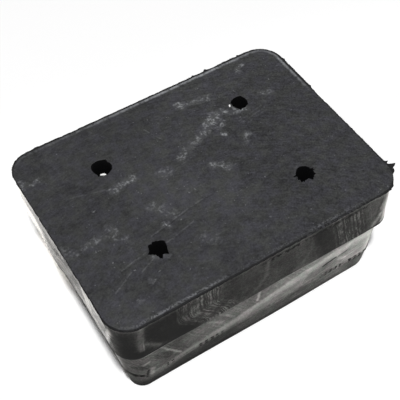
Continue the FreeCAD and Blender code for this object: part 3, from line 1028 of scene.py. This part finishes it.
def shade_under_tier_end(level, x, z):
    """A level, with a thin black line of painted shade along the bottom of the tier at its right end."""
    under = tone_along(z, {20: 1, 21.8: 1, 22.4: 0, 24: 0})
    round_corner = add("MapRange", x, 41, 42.5)
    under = add("Math MULTIPLY", under, round_corner)
    return add("Mix", Factor=under, A=level, B=0)


def bloom_colour(place, left):
    """The colour of full bloom: pinkish and greenish by 3 mm spots, and a little yellower on the left end."""
    spots = add("TexNoise", place, Scale=1 / 2.6, Detail=3)
    turn = add("MapRange", spots, 0.35, 0.65)
    plain = add("Mix", Factor=turn, A=linear("E7DFDE"), B=linear("DEE3DA"), data_type="RGBA")
    waxy = add("Mix", Factor=turn, A=linear("EBDFD8"), B=linear("E3E2D6"), data_type="RGBA")
    return add("Mix", Factor=left, A=plain, B=waxy, data_type="RGBA")


def wall_rubber(name, tier):
    """Satin moulded rubber on the sides: black where clean, greyed where wax has bloomed and been wiped,
    with painted reflections and shade laid over in places.

    The level of bloom and painted light is worked out apart for the front, the left end, the right end and
    the back, put together by which way the wall faces, and made uneven by clouds and grain. The colour goes
    from black to the bloom's own by the level to the power 2.2.
    """
    material, place, normal = new_material(name)
    x, y, z = add("SeparateXYZ", place).outputs
    # The front's own look runs right round the left corner and gives way to the end's just beyond it.
    front = facing(normal, (0, -1, 0), none=0.75, full=0.98)
    near_left = add("MapRange", x, -38, -42)
    near_front = add("MapRange", y, -10, -20)
    near_both = add("Math MULTIPLY", near_left, near_front)
    front = add("Math MAXIMUM", front, near_both)
    left = facing(normal, (-1, 0, 0), none=0.15, full=0.85)
    past_corner = add("MapRange", y, -33, -29.6, interpolation_type="SMOOTHSTEP")
    left = add("Math MULTIPLY", left, past_corner)
    # Bloom clouds some 7 mm across, with grain drawn at 0.6 mm so that it shows.
    cloud = add("TexNoise", place, Scale=1 / 7, Detail=5, Roughness=0.65)
    grain = add("TexNoise", place, Scale=1 / 0.6, Detail=2)
    uneven = -0.30
    for part, weight in ((cloud, 0.32), (grain, 0.28)):
        uneven = add("Math MULTIPLY_ADD", part, weight, uneven)
    if tier == "upper":
        front_level = upper_front(x, z, place)
        left_bloom_and_reflection = left_upper_bloom_and_reflection(y, z, place)
        side_level = 0.22
        pale_heights = (24.0, 28.0)
    else:
        front_level = lower_front(x, z, place)
        left_bloom_and_reflection = left_lower_bloom_and_reflection(y, place)
        side_level = 0.40
        pale_heights = (10.0, 22.0)
    back_level = tone_along(x, {
        -52: 0.8, -45: 0.55, -36: side_level + 0.05, -28: side_level, 52: side_level,
    })
    level = add("Mix", Factor=front, A=back_level, B=front_level)
    level = right_end(level, y, z, normal, cloud, side_level, pale_heights)
    # Painted shade along the bottom of the upper tier at its right end.
    if tier == "upper":
        level = shade_under_tier_end(level, x, z)
    level = add("Mix", Factor=left, A=level, B=left_bloom_and_reflection)
    level = add("Math ADD", level, uneven)
    if tier == "lower":
        level = corner_flash(level, place)
    level = add("Clamp", level, 0, 1.1)
    shown = add("Math POWER", level, 2.2)
    colour = add("Mix", Factor=shown, A=linear("0F0F0E"), B=bloom_colour(place, left),
                 data_type="RGBA", clamp_factor=False)
    # On the left end the bloom is wiped smooth, so the paler it is, the more it shines.
    wiped = tone_along(level, {
        0: 0.62, 0.27: 0.58, 0.31: 0.48, 0.41: 0.35, 0.48: 0.28, 0.73: 0.2, 1.1: 0.16,
    })
    rough = add("Mix", Factor=left, A=0.8, B=wiped)
    shader = add("BsdfPrincipled", Base_Color=colour, Roughness=rough, Specular_IOR_Level=0.12)
    add("OutputMaterial", shader)
    return material


def bore_rubber():
    """Rubber cut by a drill: darker and rougher than the moulded skin."""
    material, place, _ = new_material("drilled_rubber")
    cloud = add("TexNoise", place, Scale=1 / 0.8, Detail=3)
    colour = add("Mix", Factor=cloud, A=linear("040405"), B=linear("0B0B0C"), data_type="RGBA")
    shader = add("BsdfPrincipled", Base_Color=colour, Roughness=0.9, Specular_IOR_Level=0.1)
    add("OutputMaterial", shader)
    return material


def build_buffer():
    """The whole moulding as one closed skin: sides, pierced top, pierced underside and the four bores."""
    walls = wall_grid()
    points = [walls.reshape(-1, 3)]
    faces = [grid_faces(len(walls), COLUMN_COUNT, 0, False)]
    # A face of the side is top skin down to the lip, upper tier down to the step, and lower tier below that.
    upper_edge = walls[:-1, :, 2]
    middle = (upper_edge + walls[1:, :, 2]) / 2
    side_slots = np.where(upper_edge > HEIGHT - 0.35, 0, np.where(middle > STEP_HEIGHT - 0.015, 1, 2))
    slots = [side_slots.reshape(-1)]
    total = walls.shape[0] * COLUMN_COUNT
    for number in range(4):
        top, angle = pierced_grid(walls[0], number, depth=0.0, rows=12)
        low, _ = pierced_grid(walls[-1], number, depth=HEIGHT, rows=4)
        # The underside's rim is paired with the top's by direction, so both have the same number of points.
        bore = bore_grid(number, top[0], angle, low[0])
        for grid, slot, flipped in ((top, 0, False), (low, 2, True), (bore, 3, True)):
            points.append(grid.reshape(-1, 3))
            faces.append(grid_faces(*grid.shape[:2], total, flipped))
            slots.append(np.full(len(faces[-1]), slot))
            total += len(points[-1])
    materials = [
        top_rubber(),
        wall_rubber("moulded_rubber_satin", "upper"),
        wall_rubber("moulded_rubber_waxy", "lower"),
        bore_rubber(),
    ]
    return new_piece("moulded_buffer", np.concatenate(points), np.concatenate(faces),
                     np.concatenate(slots), materials)


buffer = build_buffer()
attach(buffer, "root")
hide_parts("buffer_block")


def seen_directly(tree):
    """One for a ray from the camera, a reflection or a see-through surface, nought for light that lands."""
    path = add("LightPath", tree=tree)
    first = add("Math MAXIMUM", path.outputs["Is Camera Ray"], path.outputs["Is Glossy Ray"])
    return add("Math MAXIMUM", first, path.outputs["Is Transmission Ray"])


def build_floor():
    """A plain white floor under the buffer, flat and 4 m across."""
    mesh = bpy.data.meshes.new("studio_floor")
    half = 2.0
    corners = [(-half, -half, 0), (half, -half, 0), (half, half, 0), (-half, half, 0)]
    mesh.from_pydata(corners, [], [(0, 1, 2, 3)])
    floor = bpy.data.objects.new("studio_floor", mesh)
    bpy.context.scene.collection.objects.link(floor)
    material = bpy.data.materials.new("white_card")
    tree = empty_tree(material)
    card = add("BsdfDiffuse", linear("FAFAFA"), tree=tree)
    lift = add("Math MULTIPLY", seen_directly(tree), 0.08)
    glow = add("Emission", linear("FFFFFF"), lift)
    both = add("AddShader", card, glow)
    add("OutputMaterial", both)
    mesh.materials.append(material)


def light_air():
    """An even pale world, brighter to the eye than to what it lights."""
    world = bpy.data.worlds.new("studio_air")
    bpy.context.scene.world = world
    tree = empty_tree(world)
    fill = 0.15
    strength = add("Math MULTIPLY_ADD", seen_directly(tree), 1.0 - fill, fill)
    air = add("Background", linear("FFFFFF"), strength)
    add("OutputWorld", air)


def put(name, data, side, up, back, spot):
    """Stands a lamp or a camera at a spot in metres, its right side, top and back as given."""
    holder = bpy.data.objects.new(name, data)
    rows = np.column_stack([side, up, back, spot]).tolist()
    holder.matrix_world = Matrix((*rows, (0.0, 0.0, 0.0, 1.0)))
    bpy.context.scene.collection.objects.link(holder)
    return holder


def soft_lamp(name, size, energy, spot, target, side=None):
    """A square lamp at a spot, turned to a target, with its side level where none is given."""
    lamp = bpy.data.lights.new(name, "AREA")
    lamp.shape = "SQUARE"
    lamp.size = size
    lamp.energy = energy
    back = np.subtract(spot, target)
    back = back / np.linalg.norm(back)
    if side is None:
        side = np.cross([0.0, 0.0, 1.0], back)
        side = side / np.linalg.norm(side)
    put(name, lamp, side, np.cross(back, side), back, spot)
    return lamp


def light_studio():
    """A soft lamp high up, a little to the front, and a narrow low one for the far half of the left end."""
    soft_lamp("overhead_softbox", 0.137, 24.5, (-0.185, -0.42, 1.6), (0.0, 0.0, 0.0), side=(1.0, 0.0, 0.0))
    low = soft_lamp("low_softbox", 0.05, 0.009, (-0.30, 0.10, 0.06), (-0.05, 0.050, 0.018))
    low.spread = 0.27


def place_camera():
    """A camera above the front left corner, looking down at about 53 degrees and rolled by 2 degrees."""
    camera = bpy.data.cameras.new("camera")
    camera.sensor_width = 36.0
    camera.lens = 74.275
    camera.shift_x = -0.00125
    camera.shift_y = 0.00125
    right = (0.84825, -0.52910, -0.02289)
    up = (0.43459, 0.67073, 0.60104)
    back = (-0.30265, -0.51978, 0.79889)
    bpy.context.scene.camera = put("camera", camera, right, up, back, (-0.081207, -0.138434, 0.238648))


build_floor()
light_air()
light_studio()
place_camera()
bpy.context.scene.view_settings.view_transform = "Standard"
